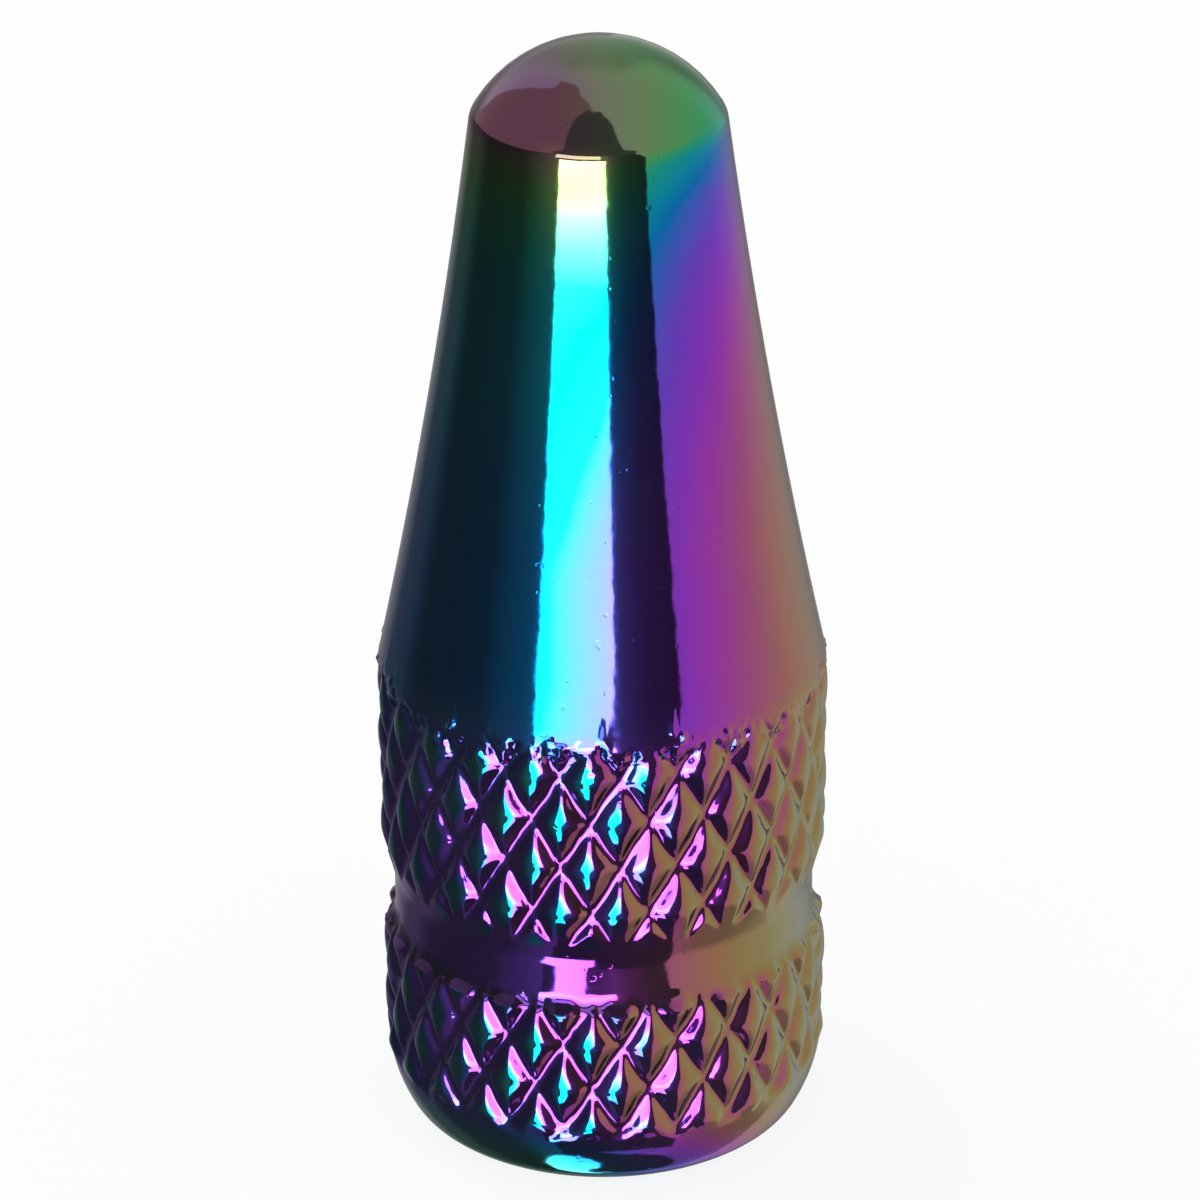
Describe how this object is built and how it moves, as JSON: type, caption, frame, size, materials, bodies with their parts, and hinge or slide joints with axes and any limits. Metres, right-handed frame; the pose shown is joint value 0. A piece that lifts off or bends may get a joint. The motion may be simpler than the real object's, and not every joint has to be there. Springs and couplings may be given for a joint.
{
  "type": "tyre valve cap",
  "caption": "Slim bullet-shaped screw-on dust cap for a narrow bicycle tyre valve, with diamond-knurled grip bands, a ring groove and a rainbow metal finish.",
  "frame": {"origin": "middle of the mouth face, on which the cap stands", "axes": "+Z along the axis of the cap, from the mouth to the domed tip"},
  "size_m": [0.008, 0.008, 0.0203],
  "materials": {
    "rainbow_metal": "mirror-bright rainbow interference coating that shifts from green and blue to purple, magenta and olive"
  },
  "bodies": {
    "root": {"valve_cap": "rainbow_metal"}
  },
  "joints": []
}
